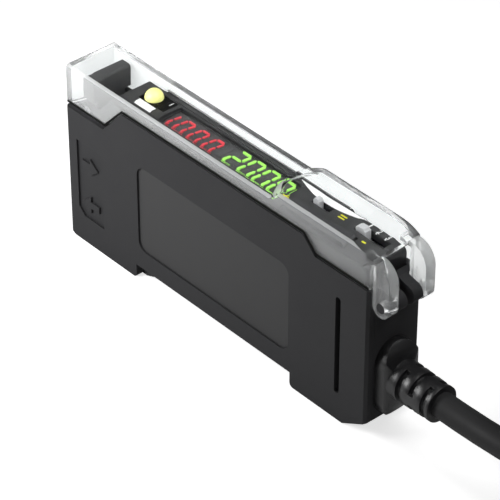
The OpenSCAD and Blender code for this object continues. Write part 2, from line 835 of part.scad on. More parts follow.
module clamp_lever() {
    hub_gap = cheek_t + slide_gap;
    color([0.1, 0.1, 0.1]) place()
        difference() {
            union() {
                rod_y(clamp_x, deck_near_y + hub_gap, deck_far_y - hub_gap, clamp_z, hub_r);
                slab(deck_near_y + hub_gap, deck_far_y - hub_gap)
                    polygon([[clamp_x - hub_r * 0.7, clamp_z], [clamp_x + hub_r, clamp_z],
                        [clamp_x + hub_r, tab_z + tab_edge_r], [tab_x, tab_z + tab_edge_r]]);
                slab(deck_near_y + seat_gap, deck_far_y - seat_gap)
                    polygon(concat([[tab_x, tab_z], [tab_x + tab_t, tab_z]],
                        arc([tab_x + tab_t - tab_edge_r, tab_top_z - tab_edge_r], tab_edge_r, 0, 90, 4),
                        [[tab_x + tab_edge_r, tab_top_z], [tab_x, tab_top_z - tab_edge_r]]));
                block([finger_x, mid_y - gripper_neck_w / 2, finger_z],
                    [finger_x + finger_l, mid_y + gripper_neck_w / 2, clamp_z]);
            }
            rod_y(clamp_x, 0, body_w, clamp_z, pin_r + turn_gap);
        }
}

module clamp_pin() {
    color([0.75, 0.76, 0.78]) place() rod_y(clamp_x, deck_near_y, deck_far_y, clamp_z, pin_r);
}

// The lever's finger holds this slide down on both fibres
module fibre_gripper() {
    color([0.3, 0.3, 0.32]) place()
        difference() {
            union() {
                block([finger_x, mid_y - gripper_w / 2, gripper_foot_z],
                    [finger_x + gripper_l, mid_y + gripper_w / 2, block_top_z]);
                block([finger_x, mid_y - gripper_neck_w / 2, block_top_z],
                    [finger_x + gripper_l, mid_y + gripper_neck_w / 2, finger_z - seat_gap]);
            }
            for (z = [port_z, port_z + port_pitch])
                rod_x(finger_x - over, finger_x + gripper_l + over, mid_y, z, gripper_hole_r);
        }
}

// The guide block of both fibres, whose front plate closes the housing's fibre end
module port_block() {
    color([0.22, 0.22, 0.24]) place()
        difference() {
            union() {
                block([0, side_t + seat_gap, floor_z], [wall, far_y - seat_gap, front_top_z]);
                block([0, side_t + seat_gap, floor_z],
                    [wall + block_l, far_y - seat_gap, block_top_z]);
            }
            for (z = [port_z, port_z + port_pitch])
                rod_x(-over, 2 * block_l, mid_y, z, port_r);
            block([finger_x - slide_gap, mid_y - gripper_w / 2 - slide_gap,
                    gripper_foot_z - slide_gap],
                [finger_x + gripper_l + slide_gap, mid_y + gripper_w / 2 + slide_gap,
                    block_top_z + over]);
        }
}

// A round optical part behind a bore, with its square base on the rear of the block
module optic(z) {
    x = wall + block_l;
    rod_x(x + seat_gap, x + optic_l, mid_y, z, port_r);
    block([x + seat_gap, mid_y - 2 * port_r, z - 2 * port_r],
        [x + optic_base_t, mid_y + 2 * port_r, z + 2 * port_r]);
}

module emitter_led() {
    color([0.9, 0.3, 0.25]) place() optic(port_z);
}

module receiver_diode() {
    color([0.25, 0.25, 0.3]) place() optic(port_z + port_pitch);
}

module main_board() {
    color([0.1, 0.4, 0.25]) place()
        block([board_x, board_far_y - board_t, board_z], [board_end_x, board_far_y, board_top_z]);
}

module display_board() {
    color([0.1, 0.4, 0.25]) place()
        block([upper_board_x, bay_near_y + seat_gap, upper_board_z],
            [upper_board_end_x, bay_far_y - seat_gap, upper_board_z + upper_board_t]);
}

// A chip on the main board's near face at [x, z], w long and h high, with legs on two sides
module chip(at, w, h, t, legs) {
    y = board_far_y - board_t;
    translate([board_x + at[0], 0, board_z + at[1]]) {
        block([0, y - t, 0], [w, y, h]);
        for (i = [0:legs - 1])
            block([w * (i + 1 / 4) / legs, y - t / 3, -t / 2],
                [w * (i + 3 / 4) / legs, y, h + t / 2]);
    }
}

module microcontroller() {
    color([0.13, 0.13, 0.13]) place()
        chip(controller_at, controller_w, controller_w, chip_t, controller_legs);
}

module voltage_regulator() {
    color([0.15, 0.15, 0.15]) place()
        chip(regulator_at, regulator_w, regulator_h, chip_t * 3 / 2, small_chip_legs);
}

module output_transistors() {
    color([0.15, 0.15, 0.15]) place()
        for (i = [0, 1])
            chip(transistor_at + [0, i * transistor_pitch], transistor_w, transistor_h, chip_t,
                small_chip_legs);
}

// Pins and their carrier, which join the upright board to the one under the deck
module board_header() {
    x = board_x + header_at;
    y = board_far_y - board_t;
    z = board_top_z - board_gap - header_h;
    pitch = header_l / header_pins;
    color([0.7, 0.6, 0.3]) place() {
        block([x, y - header_t, z], [x + header_l, y, z + header_h]);
        for (i = [0:header_pins - 1])
            translate([x + (i + 1 / 2) * pitch, y - header_t / 2, z - header_pin_w])
                block([-header_pin_w / 2, -header_pin_w / 2, 0],
                    [header_pin_w / 2, header_pin_w / 2, upper_board_z - z + header_pin_w]);
    }
}

module rocker_button() {
    y1 = rocker_y + rocker_w;
    x1 = rocker_x + rocker_l;
    color([0.2, 0.2, 0.2]) place() {
        slab(rocker_y, y1)
            polygon([[rocker_x, rocker_top_z - rocker_t], [x1, rocker_top_z - rocker_t],
                [x1, rocker_top_z - rocker_edge], [x1 - rocker_edge, rocker_top_z],
                [rocker_mid_x, rocker_top_z - rocker_dish],
                [rocker_x + rocker_edge, rocker_top_z], [rocker_x, rocker_top_z - rocker_edge]]);
        slab(rocker_y, y1)
            polygon([[rocker_mid_x - 2 * rocker_axle_r, rocker_top_z - rocker_t / 2],
                [rocker_mid_x - rocker_axle_r, rocker_axle_z - rocker_axle_r],
                [rocker_mid_x + rocker_axle_r, rocker_axle_z - rocker_axle_r],
                [rocker_mid_x + 2 * rocker_axle_r, rocker_top_z - rocker_t / 2]]);
        rod_y(rocker_mid_x, deck_near_y + turn_gap, y1 + slide_gap + bearing_t,
            rocker_axle_z, rocker_axle_r);
        for (x = [rocker_mid_x - rocker_arm, rocker_mid_x + rocker_arm])
            translate([x, rocker_y + rocker_w / 2, module_z + button_h + plunger_gap])
                cylinder(r = plunger_r,
                    h = rocker_top_z - rocker_t / 2 - module_z - button_h - plunger_gap);
    }
}

module button_switches() {
    color([0.75, 0.76, 0.78]) place()
        for (x = [rocker_mid_x - rocker_arm, rocker_mid_x + rocker_arm])
            block([x - button_l / 2, rocker_y + rocker_w / 2 - button_w / 2, module_z],
                [x + button_l / 2, rocker_y + rocker_w / 2 + button_w / 2, module_z + button_h]);
}

// A slide switch's case on the upper board, with a track for its knob
module switch_case(x, l, travel, w) {
    difference() {
        block([x - switch_margin, switch_far_y - switch_w, module_z],
            [x + l + travel + switch_margin, switch_far_y, module_z + switch_h]);
        block([x - slide_gap, knob_y - w / 2 - turn_gap, module_z + switch_h - track_d],
            [x + l + travel + slide_gap, knob_y + w / 2 + turn_gap, module_z + switch_h + over]);
    }
}

// A knob that stands in its track and comes up through the deck
module knob(x, l, w) {
    z = module_z + switch_h - track_d + turn_gap;
    block([x, knob_y - w / 2, z], [x + l, knob_y + w / 2, deck_z + knob_rise - knob_top_h]);
    slab(knob_y - w / 2, knob_y + w / 2)
        polygon([[x, deck_z], [x + l, deck_z],
            [x + l * (1 - knob_top_share), deck_z + knob_rise],
            [x + l * knob_top_share, deck_z + knob_rise]]);
}

module mode_switch() {
    color([0.6, 0.61, 0.62]) place() switch_case(mode_x, mode_knob_l, mode_travel, mode_knob_w);
}

module mode_knob() {
    color([0.55, 0.55, 0.55]) place() knob(mode_x, mode_knob_l, mode_knob_w);
}

module output_switch() {
    color([0.6, 0.61, 0.62]) place()
        switch_case(output_x, output_knob_l, output_travel, output_knob_w);
}

module output_knob() {
    color([0.55, 0.55, 0.55]) place() knob(output_x, output_knob_l, output_knob_w);
}

// The oval dome: an oval prism cut to a curve both along and across
module flange_dome() {
    half_w = flange_w / 2;
    rise_r = (flange_h * flange_h / 4 + 4 * flange_d * flange_d / 9) / (4 * flange_d / 3);
    side_r = (half_w * half_w + flange_d * flange_d / 9) / (2 * flange_d / 3);
    intersection() {
        translate([body_l, mid_y, cable_z - cable_r / 4]) rotate([90, 0, 90])
            linear_extrude(height = flange_d)
                rounded(-half_w, -flange_h / 2, flange_w, flange_h, half_w * 0.99);
        rod_y(body_l + flange_d - rise_r, 0, body_w, cable_z - cable_r / 4, rise_r);
        translate([body_l + flange_d - side_r, mid_y, 0]) cylinder(r = side_r, h = body_h);
    }
}

// Slots that run round the boot between two bridges, each pair turned a quarter
module boot_slot(x, turned) {
    difference() {
        rod_x(x, x + slot_gap, mid_y, cable_z, 2 * boot_r);
        rod_x(x - over, x + slot_gap + over, mid_y, cable_z, boot_core_r);
        translate([x + slot_gap / 2, mid_y, cable_z]) rotate([turned ? 90 : 0, 0, 0])
            cube([2 * slot_gap, bridge_w, 6 * boot_r], center = true);
    }
}

module strain_relief() {
    color([0.09, 0.09, 0.1]) place() {
        difference() {
            union() {
                flange_dome();
                translate([body_l + flange_d / 2, mid_y, cable_z]) rotate([0, 90, 0])
                    cylinder(r1 = boot_r, r2 = boot_tip_r, h = boot_l + flange_d / 2);
            }
            for (i = [0:boot_slots - 1])
                boot_slot(body_l + flange_d + slot_gap + i * slot_pitch, i % 2 == 1);
        }
        rod_x(body_l - wall - gland_lip_t / 2, body_l + flange_d / 2, mid_y, cable_z, gland_r);
        rod_x(body_l - wall - gland_lip_t, body_l - wall - gland_gap, mid_y, cable_z, gland_lip_r);
    }
}

// Five insulated cores lie on the main board's near face
module cable_cores() {
    y = board_far_y - board_t - core_r;
    color([0.6, 0.4, 0.25]) place()
        for (i = [-2:2])
            rod_x(body_l - wall - gland_lip_t - core_l, body_l - wall - gland_lip_t,
                y, cable_z + i * 3 * core_r, core_r);
}

// A tube swept along points, one ring of sides at each point
module swept_tube(points, r, sides) {
    last = len(points) - 1;
    way = [for (i = [0:last]) points[min(i + 1, last)] - points[max(i - 1, 0)]];
    rings = [for (i = [0:last])
        let (d = way[i] / norm(way[i]), side = cross([0, 0, 1], d) / norm(cross([0, 0, 1], d)),
            up = cross(d, side))
        [for (k = [0:sides - 1]) points[i] + r * (cos(360 * k / sides) * side
            + sin(360 * k / sides) * up)]];
    polyhedron(
        points = [for (ring = rings) each ring],
        faces = concat([[for (k = [0:sides - 1]) k]],
            [for (i = [0:last - 1], k = [0:sides - 1]) let (n = (k + 1) % sides)
                [i * sides + k, (i + 1) * sides + k, (i + 1) * sides + n, i * sides + n]],
            [[for (k = [sides - 1:-1:0]) last * sides + k]]));
}

module cable() {
    color([0.2, 0.2, 0.21]) translate([cable_x, 0, cable_z]) swept_tube(cable_route, cable_r, 12);
}

// An oblong with round ends, between the middles of its ends
module oblong(l, r) {
    translate([0, -r]) square([l, 2 * r]);
    for (x = [0, l]) translate([x, 0]) circle(r = r, $fn = 64);
}

module cable_coil() {
    color([0.2, 0.2, 0.21]) translate([coil_at[0], coil_at[1], tie_t])
        linear_extrude(height = coil_top_z - tie_t)
            difference() {
                oblong(coil_run_l, coil_outer_r);
                oblong(coil_run_l, coil_inner_r);
            }
}

// A strap round the middle of the coil
module coil_tie() {
    strap_y = coil_outer_r + tie_t;
    hole_y = coil_outer_r + seat_gap;
    color([0.1, 0.1, 0.1]) translate([coil_at[0] + coil_run_l / 2, coil_at[1], 0])
        difference() {
            block([-tie_w / 2, -strap_y, 0], [tie_w / 2, strap_y, coil_top_z + tie_t]);
            block([-tie_w, -hole_y, tie_t - seat_gap], [tie_w, hole_y, coil_top_z + seat_gap]);
        }
}

module lead_wires() {
    color([0.5, 0.4, 0.3]) translate([coil_at[0] + coil_run_l / 2 + lead_x, coil_at[1] + lead_y])
        for (i = [-2:2]) rod_x(0, lead_l, i * lead_pitch, lead_r, lead_r);
}

main_housing();
side_cover();
top_deck();
face_film();
white_field();
display_window();
red_display();
green_display();
red_digits();
green_digits();
led_bezel();
output_led_lens();
output_led();
dust_cover();
clamp_lever();
clamp_pin();
fibre_gripper();
port_block();
emitter_led();
receiver_diode();
main_board();
display_board();
microcontroller();
voltage_regulator();
output_transistors();
board_header();
rocker_button();
button_switches();
mode_switch();
mode_knob();
output_switch();
output_knob();
strain_relief();
cable_cores();
cable();
cable_coil();
coil_tie();
lead_wires();
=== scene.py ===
import math

import bpy
from bpy.props import FloatProperty, FloatVectorProperty, PointerProperty
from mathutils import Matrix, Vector


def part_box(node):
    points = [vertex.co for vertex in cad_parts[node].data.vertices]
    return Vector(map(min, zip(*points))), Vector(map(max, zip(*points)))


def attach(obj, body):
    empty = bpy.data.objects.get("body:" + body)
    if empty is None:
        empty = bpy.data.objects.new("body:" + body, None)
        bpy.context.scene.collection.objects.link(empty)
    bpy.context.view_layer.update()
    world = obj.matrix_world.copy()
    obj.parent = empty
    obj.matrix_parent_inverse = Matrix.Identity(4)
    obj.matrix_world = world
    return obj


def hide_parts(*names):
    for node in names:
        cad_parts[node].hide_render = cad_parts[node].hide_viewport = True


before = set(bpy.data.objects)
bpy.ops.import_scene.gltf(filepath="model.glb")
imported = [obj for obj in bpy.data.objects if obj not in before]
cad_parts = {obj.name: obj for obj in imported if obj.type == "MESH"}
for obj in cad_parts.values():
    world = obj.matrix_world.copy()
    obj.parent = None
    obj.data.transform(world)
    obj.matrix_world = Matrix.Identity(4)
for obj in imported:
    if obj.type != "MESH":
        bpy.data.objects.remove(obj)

bl_info = {
    "name": "Fibre optic sensor amplifier",
    "version": (1, 0, 0),
    "blender": (4, 5, 0),
    "location": "View3D > Sidebar > Amplifier",
    "description": "Dresses a slim fibre optic sensor amplifier with its clear cover and cable",
    "category": "Object",
}

MM = 0.001
LOW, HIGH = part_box("side_cover")

# The deck's printed face, in millimetres: the height of its top, the thickness of the window's
# border, of a sign and of a black field, the window's box and the opening in its border
FILM_TOP = 29.55
PRINT = 0.02
SIGN_THICK = 3 * PRINT
FIELD_THICK = 2 * PRINT
WINDOW = (16.8, 3.2, 46, 8)
OPENING = (18.8, 3.3, 45.9, 7.65)
# The bars in the window's well beside the figures: their near left and far right corners, and the
# heights of their undersides and tops
WELL_BARS = ((16.8, 3.2, 18.9, 7.62), (16.8, 7.65, 46, 8))
WELL_LOW, WELL_TOP = 28.66, 28.88
# How much paler than the film the display blocks are, so that they match it through the window:
# painted light that makes up for the shade on them under the window
WINDOW_PAINTED_LIGHT = 1.9
# The signs: text, place of its middle along and across the deck, and size, in millimetres
WHITE_SIGNS = (
    ("1", 17.3, 7, 1.3), ("1", 59.6, 8.15, 1.5), ("2", 61.5, 8.15, 1.5), ("3", 63.4, 8.15, 1.5))
YELLOW_SIGNS = (("+", 46.4, 4.1, 2.6), ("-", 61.8, 5, 3), ("=", 55.5, 6.5, 2.6))
# White and black bars: their near left and far right corners, in millimetres
BLACK_BARS = ((16.4, 4.75, 18, 7.85),)
DOT = 0.2
WHITE_BARS = (
    (12.9, 3.4, 16.6, 4.5), *((x, 7.37, x + DOT, 7.37 + DOT) for x in (59.5, 61.4, 63.3)))

# A painted shadow: a black cord along the lower edge of the cover's near wall, where the ledge
# under it lies in shade. Its points along and up, its place across and its radius, in millimetres;
# and where the cover's ears begin
COVER_SHADOW_CORD = ((0.5, 25.1), (9.45, 25.1), (13.75, 29.6), (54.45, 29.6), (56.95, 27.1), (67.7, 27.1))
SHADOW_CORD_Y = 0.2
EARS_X = LOW.x + 68 * MM
# The upward part of a face's normal on the cover: under the first it is a wall, and under the
# second a rounded edge, which takes a paler material as a painted highlight. Then the places of the
# cover's four materials.
WALL_NORMAL, EDGE_NORMAL = 0.35, 0.66
CLEAR, WALL, PAINTED_LIGHT, EAR = range(4)
# How much the clear plastics bend the light: low, as thin walls bend it
WINDOW_IOR, COVER_IOR, MILKY_IOR = 1.1, 1.12, 1.18

# The bare label on the side plate, in millimetres
LABEL_X = 17.2
LABEL_Z = 6.1
LABEL_LENGTH = 34.1
LABEL_HEIGHT = 15.6
LABEL_ROUND = 1.7
LABEL_DEPTH = 0.35
LABEL_THICK = 0.03

# Radii that round the moulded edges, and the gap under which points are merged, in millimetres
HOUSING_EDGE = 0.12
PLATE_EDGE = 0.1
SMALL_EDGE = 0.08
MERGE = 0.002

# The cable's first stretch, from where it leaves the boot, in millimetres
CABLE_ROUTE = (
    (0, 0, 0), (4, 0, 0), (8, 0, 0.1), (12, 0, 0.32), (16, 0, 0.6), (20, 0, 0.82), (24, 0, 0.98))
CABLE_EXIT = (78.3, 5, 10.2)
# The hank: an oblong winding in two columns, in millimetres. A turn has four phases: the near run,
# the right end, the far run and the left end.
HANK_FREE = 27.8
HANK_RISE = 1.1
RUN = 44
COLUMN_PITCH = 4.4
LAYER_PITCH = 4.3
TURN_PHASES = 4
PHASE_STEPS = 12
# Where the winding changes its place: from and to which phase, columns inwards, layers up
CHANGES = (
    (2.5, 3.2, 0, 1), (6.5, 7.2, 0, 1), (10.5, 11.2, 0, 1), (13.95, 14.5, 1, 0),
    (17.15, 17.95, 0, -1), (21.15, 21.95, 0, -1), (25.15, 25.95, 0, -1), (29.15, 29.95, 0, -1),
    (32.57, 33.12, -1, 0), (36, 36.57, 0, -1), (38.4, 38.95, 1, 0))
LAST_PHASE = 42
TAIL = 20
TAIL_INWARDS = 4.4
TAIL_STEPS = 10

# The bare leads, in millimetres: the ring in which they leave the jacket, how far inside it they
# start, how far they run straight on, their bends before their ends, and their bare tips
LEAD_RING = 1.15
LEAD_INSIDE = 2
LEAD_STRAIGHT = (4, 7)
LEAD_BENDS = ((9, -0.6, 0), (5, 0, 0))
LEAD_BARE = 4
TIP_POINTS = (5, 2.5, 0)
TIP_SHARE = 0.6

# Each lamp: where it stands, what it points at and how wide it is, in millimetres
KEY_LAMP = ((-22, -85, 76), (15, 0, 15), 70)
FILL_LAMP = ((130, 40, 190), (45, 5, 25), 120)
# The floor's width in metres, and the share of white with which it shows to the camera
FLOOR_WIDTH = 6
FLOOR_LIFT = 0.72

# Grain and cloud of the moulded plastic, in millimetres, and the swing of its gloss
GRAIN = 0.35
FINE_GRAIN = 0.2
CLOUD = 9
GLOSS_SWING = 0.12


def at(x, y, z):
    """A point in metres, from millimetres along, across and above the housing's front foot."""
    return Vector((LOW.x + x * MM, LOW.y + y * MM, z * MM))


# The leads' colours
LEADS = {
    "brown": (0.16, 0.06, 0.03),
    "white": (0.8, 0.8, 0.78),
    "blue": (0.03, 0.12, 0.5),
    "black": (0.02, 0.02, 0.02),
    "grey": (0.3, 0.3, 0.31),
}

# Settings that a user would change


class CameraSettings(bpy.types.PropertyGroup):
    place: FloatVectorProperty(
        name="Place", description="Where the camera stands", default=at(288.277, -216.435, 263.322),
        subtype="TRANSLATION", unit="LENGTH", precision=4)
    azimuth: FloatProperty(
        name="Azimuth", description="Turn of the camera about the vertical",
        default=math.radians(48.569), subtype="ANGLE")
    elevation: FloatProperty(
        name="Elevation", description="How far the camera looks down",
        default=math.radians(36.621), subtype="ANGLE")
    lens: FloatProperty(
        name="Lens", description="Focal length on a 36 mm sensor, in millimetres", default=201.19)


class StudioSettings(bpy.types.PropertyGroup):
    ambient: FloatProperty(
        name="Ambient", description="Level of the even studio light", default=0.34)
    key_power: FloatProperty(
        name="Key", description="Power of the key lamp in watts", default=0.12)
    fill_power: FloatProperty(
        name="Fill", description="Power of the fill lamp in watts", default=0.17)
    floor_grey: FloatProperty(name="Floor", description="How pale the floor is", default=0.9)


class PlasticSettings(bpy.types.PropertyGroup):
    housing: FloatVectorProperty(
        name="Housing", description="Colour of the moulded housing",
        default=(0.042, 0.042, 0.044), subtype="COLOR")
    deck: FloatVectorProperty(
        name="Deck", description="Colour of the moulded deck",
        default=(0.020, 0.020, 0.021), subtype="COLOR")
    film: FloatVectorProperty(
        name="Film", description="Colour of the printed film",
        default=(0.044, 0.044, 0.045), subtype="COLOR")
    label: FloatVectorProperty(
        name="Label", description="Colour of the bare label",
        default=(0.062, 0.062, 0.063), subtype="COLOR")
    knob: FloatVectorProperty(
        name="Knobs", description="Colour of the two slide knobs",
        default=(0.54, 0.54, 0.55), subtype="COLOR")


class CoverSettings(bpy.types.PropertyGroup):
    tint: FloatVectorProperty(
        name="Tint", description="Colour of the clear plastic", default=(0.97, 0.985, 0.985),
        subtype="COLOR")
    # The walls' milk at each end: the milk is a frosting, and its fall from the fibre end to the
    # cable end is painted light
    milk_and_light_front: FloatProperty(
        name="Front milk", description="How milky the walls are at the fibre end", default=0.22)
    milk_and_light_rear: FloatProperty(
        name="Rear milk", description="How milky the walls are at the cable end", default=0.08)
    edge: FloatProperty(
        name="Edge", description="Radius that rounds the cover's small edges", default=0.16 * MM,
        unit="LENGTH", precision=5)


class FigureSettings(bpy.types.PropertyGroup):
    red: FloatVectorProperty(
        name="Red", description="Colour of the red figures", default=(0.60, 0.055, 0.07),
        subtype="COLOR")
    green: FloatVectorProperty(
        name="Green", description="Colour of the green figures", default=(0.36, 0.80, 0.13),
        subtype="COLOR")
    amber: FloatVectorProperty(
        name="Amber", description="Colour of the output light", default=(0.90, 0.86, 0.30),
        subtype="COLOR")
    glow: FloatProperty(name="Glow", description="Strength of the lit parts", default=0.35)


class PrintSettings(bpy.types.PropertyGroup):
    white: FloatVectorProperty(
        name="White print", description="Colour of the white signs", default=(0.85, 0.85, 0.85),
        subtype="COLOR")
    yellow: FloatVectorProperty(
        name="Yellow print", description="Colour of the yellow signs", default=(0.80, 0.78, 0.05),
        subtype="COLOR")
    black: FloatVectorProperty(
        name="Black print", description="Colour of the black field by the light",
        default=(0.006, 0.006, 0.006), subtype="COLOR")


class CableSettings(bpy.types.PropertyGroup):
    length: FloatProperty(
        name="Length", description="Length of the cable", default=2.0, unit="LENGTH")
    radius: FloatProperty(
        name="Radius", description="Radius of the cable", default=2.1 * MM, unit="LENGTH",
        precision=5)
    turn_radius: FloatProperty(
        name="Turn radius", description="Radius of the hank's outer ends", default=17.8 * MM,
        unit="LENGTH", precision=5)
    lead_radius: FloatProperty(
        name="Lead radius", description="Radius of a bare lead", default=0.55 * MM, unit="LENGTH",
        precision=5)
    jacket: FloatVectorProperty(
        name="Jacket", description="Colour of the jacket", default=(0.030, 0.030, 0.031),
        subtype="COLOR")


# Selecting and shaping


def select_only(*objects):
    """Selects these objects alone, with the first one active."""
    bpy.ops.object.select_all(action="DESELECT")
    for o in objects:
        o.select_set(True)
    bpy.context.view_layer.objects.active = objects[0]


def edit(o):
    """Starts editing the object with none of its faces selected, in edge mode."""
    select_only(o)
    bpy.ops.object.mode_set(mode="EDIT")
    bpy.context.tool_settings.mesh_select_mode = (False, True, False)
    bpy.ops.mesh.select_all(action="DESELECT")


def mark(o, edges=None, faces=None):
    """Selects the edges or the faces that the test picks."""
    bpy.ops.object.mode_set(mode="OBJECT")
    for edge in o.data.edges if edges else ():
        edge.select = edges(*(o.data.vertices[i].co for i in edge.vertices))
    for face in o.data.polygons if faces else ():
        face.select = faces(face.center)
    bpy.ops.object.mode_set(mode="EDIT")


def leave_edit():
    bpy.ops.object.mode_set(mode="OBJECT")


def add_modifier(o, name, kind, **values):
    modifier = o.modifiers.new(name, kind)
    for key, value in values.items():
        setattr(modifier, key, value)
    return modifier


def apply_modifiers(o):
    select_only(o)
    for modifier in list(o.modifiers):
        bpy.ops.object.modifier_apply(modifier=modifier.name)


def settle(o):
    """Moves the object's place into its mesh, as a CAD node has it."""
    select_only(o)
    bpy.ops.object.transform_apply(location=True, rotation=True, scale=True)


def smooth(o):
    select_only(o)
    bpy.ops.object.shade_smooth_by_angle(angle=math.radians(35))


def add_bar(x0, y0, x1, y1, z0, z1):
    """A plain bar between two corners."""
    bpy.ops.object.select_all(action="DESELECT")
    bpy.ops.mesh.primitive_cube_add(size=1)
    o = bpy.context.object
    o.dimensions = Vector((x1 - x0, y1 - y0, z1 - z0)) * MM
    o.location = at((x0 + x1) / 2, (y0 + y1) / 2, (z0 + z1) / 2)
    settle(o)
    return o


def finish_piece(o, body, *materials):
    """Gives a piece its materials and says which body it rides on."""
    o.data.materials.clear()
    for material in materials:
        o.data.materials.append(material)
    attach(o, body)


def dress(node, material, edge=0.0):
    """Gives a CAD node its material and, with an edge radius, softly rounded edges."""
    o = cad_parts[node]
    o.data.materials.clear()
    o.data.materials.append(material)
    if edge:
        clean_faces(o)
        round_edges(o, edge, harden_normals=True)
    return o


def clean_faces(o):
    """Merges the mesh's doubles and joins its flat triangles into whole faces."""
    add_modifier(o, "Weld", "WELD", merge_threshold=MERGE * MM)
    add_modifier(
        o, "Flat faces", "DECIMATE", decimate_type="DISSOLVE", angle_limit=math.radians(0.4))


def round_edges(o, edge, **more):
    add_modifier(
        o, "Soft edges", "BEVEL", width=edge, segments=2, limit_method="ANGLE",
        angle_limit=math.radians(30), use_clamp_overlap=True, **more)


def copy_node(node, name):
    """A copy of a CAD node's mesh, with its doubles merged."""
    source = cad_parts[node]
    o = bpy.data.objects.new(name, source.data.copy())
    bpy.context.scene.collection.objects.link(o)
    clean_faces(o)
    apply_modifiers(o)
    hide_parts(node)
    return o


# Materials


def start_material(name):
    """A new material, with its node tree and its shader."""
    material = bpy.data.materials.new(name)
    material.use_nodes = True
    tree = material.node_tree
    return material, tree, tree.nodes["Principled BSDF"]


def add_node(tree, kind, **values):
    node = tree.nodes.new(kind)
    for key, value in values.items():
        if key in node.inputs:
            node.inputs[key].default_value = value
        else:
            setattr(node, key, value)
    return node


def noise(tree, size, detail=3.0):
    """A noise in object space whose bumps are about size across."""
    coordinates = add_node(tree, "ShaderNodeTexCoord")
    texture = add_node(tree, "ShaderNodeTexNoise", Scale=1 / size, Detail=detail, Roughness=0.6)
    tree.links.new(coordinates.outputs["Object"], texture.inputs["Vector"])
    return texture.outputs["Fac"]


def mapped(tree, source, low, high, start=0.35, end=0.65):
    """The source, spread from low to high."""
    spread = add_node(tree, "ShaderNodeMapRange")
    for name, value in (("From Min", start), ("From Max", end), ("To Min", low), ("To Max", high)):
        spread.inputs[name].default_value = value
    tree.links.new(source, spread.inputs["Value"])
    return spread.outputs["Result"]


def shaded_colour(tree, source, colour, spread):
    """The colour, a little darker and lighter with the source."""
    mix = add_node(tree, "ShaderNodeMix", data_type="RGBA")
    mix.inputs["A"].default_value = (*[c * (1 - spread) for c in colour], 1)
    mix.inputs["B"].default_value = (*[min(1, c * (1 + spread)) for c in colour], 1)
    tree.links.new(source, mix.inputs["Factor"])
    return mix.outputs["Result"]


def bump(tree, shader, source, height):
    """Fine relief from the source, of the given height."""
    node = add_node(tree, "ShaderNodeBump", Distance=height)
    tree.links.new(source, node.inputs["Height"])
    tree.links.new(node.outputs["Normal"], shader.inputs["Normal"])


def moulded(
        name, colour, roughness=0.45, grain=GRAIN * MM, height=0.006 * MM, specular=0.35,
        spread=0.12):
    """Moulded plastic: a fine grain, with cloudy changes of colour and gloss."""
    material, tree, shader = start_material(name)
    cloud = noise(tree, CLOUD * MM, 2)
    tree.links.new(shaded_colour(tree, cloud, colour, spread), shader.inputs["Base Color"])
    gloss = mapped(tree, cloud, roughness * (1 - GLOSS_SWING), roughness * (1 + GLOSS_SWING))
    tree.links.new(gloss, shader.inputs["Roughness"])
    bump(tree, shader, noise(tree, grain), height)
    shader.inputs["Specular IOR Level"].default_value = specular
    return material


def printed(name, colour, roughness=0.5, height=0.002 * MM, **finish):
    """A print, a film or a thin sheet: like moulded plastic, with a finer grain."""
    return moulded(name, colour, roughness, FINE_GRAIN * MM, height, **finish)


def glowing(name, colour, strength, size=0.6 * MM):
    """A lit plastic part whose light varies softly over it."""
    material, tree, shader = start_material(name)
    cloud = noise(tree, size, 1)
    body = shaded_colour(tree, cloud, colour, 0.15)
    tree.links.new(body, shader.inputs["Base Color"])
    tree.links.new(body, shader.inputs["Emission Color"])
    shader.inputs["Emission Strength"].default_value = strength
    shader.inputs["Roughness"].default_value = 0.35
    bump(tree, shader, noise(tree, size / 4), 0.002 * MM)
    return material


def metal(name, colour):
    """Ground or stamped metal with a fine brushed grain."""
    roughness = 0.3
    material, tree, shader = start_material(name)
    brushed = noise(tree, 0.3 * MM, 4)
    tree.links.new(shaded_colour(tree, brushed, colour, 0.1), shader.inputs["Base Color"])
    gloss = mapped(tree, brushed, roughness * 0.8, roughness * 1.3)
    tree.links.new(gloss, shader.inputs["Roughness"])
    bump(tree, shader, brushed, 0.002 * MM)
    shader.inputs["Metallic"].default_value = 1
    return material


def either(tree, *rays):
    """One where a ray is of any of the named kinds, and zero elsewhere."""
    path = add_node(tree, "ShaderNodeLightPath")
    result = path.outputs[rays[0]]
    for ray in rays[1:]:
        largest = add_node(tree, "ShaderNodeMath", operation="MAXIMUM")
        tree.links.new(result, largest.inputs[0])
        tree.links.new(path.outputs[ray], largest.inputs[1])
        result = largest.outputs[0]
    return result


def let_lamps_through(tree, shader, share=1.0):
    """Lamps shine through the clear plastic, as they do through a thin wall."""
    path = add_node(tree, "ShaderNodeLightPath")
    clear = add_node(tree, "ShaderNodeBsdfTransparent")
    mix = add_node(tree, "ShaderNodeMixShader")
    output = tree.nodes["Material Output"]
    tree.links.new(path.outputs["Is Shadow Ray"], mix.inputs["Fac"])
    tree.links.new(shader.outputs["BSDF"], mix.inputs[1])
    tree.links.new(clear.outputs["BSDF"], mix.inputs[2])
    tree.links.new(mix.outputs["Shader"], output.inputs["Surface"])
    clear.inputs["Color"].default_value = (share, share, share, 1)


def clear_plastic(name, tint, ior):
    """Polished clear plastic with a very slight haze and wave."""
    roughness = 0.02
    material, tree, shader = start_material(name)
    haze = noise(tree, 6 * MM, 2)
    tree.links.new(shaded_colour(tree, haze, tint, 0.01), shader.inputs["Base Color"])
    tree.links.new(mapped(tree, haze, roughness, roughness * 2.5), shader.inputs["Roughness"])
    bump(tree, shader, noise(tree, 14 * MM, 1), 0.01 * MM)
    shader.inputs["Transmission Weight"].default_value = 1
    shader.inputs["IOR"].default_value = ior
    let_lamps_through(tree, shader)
    return material


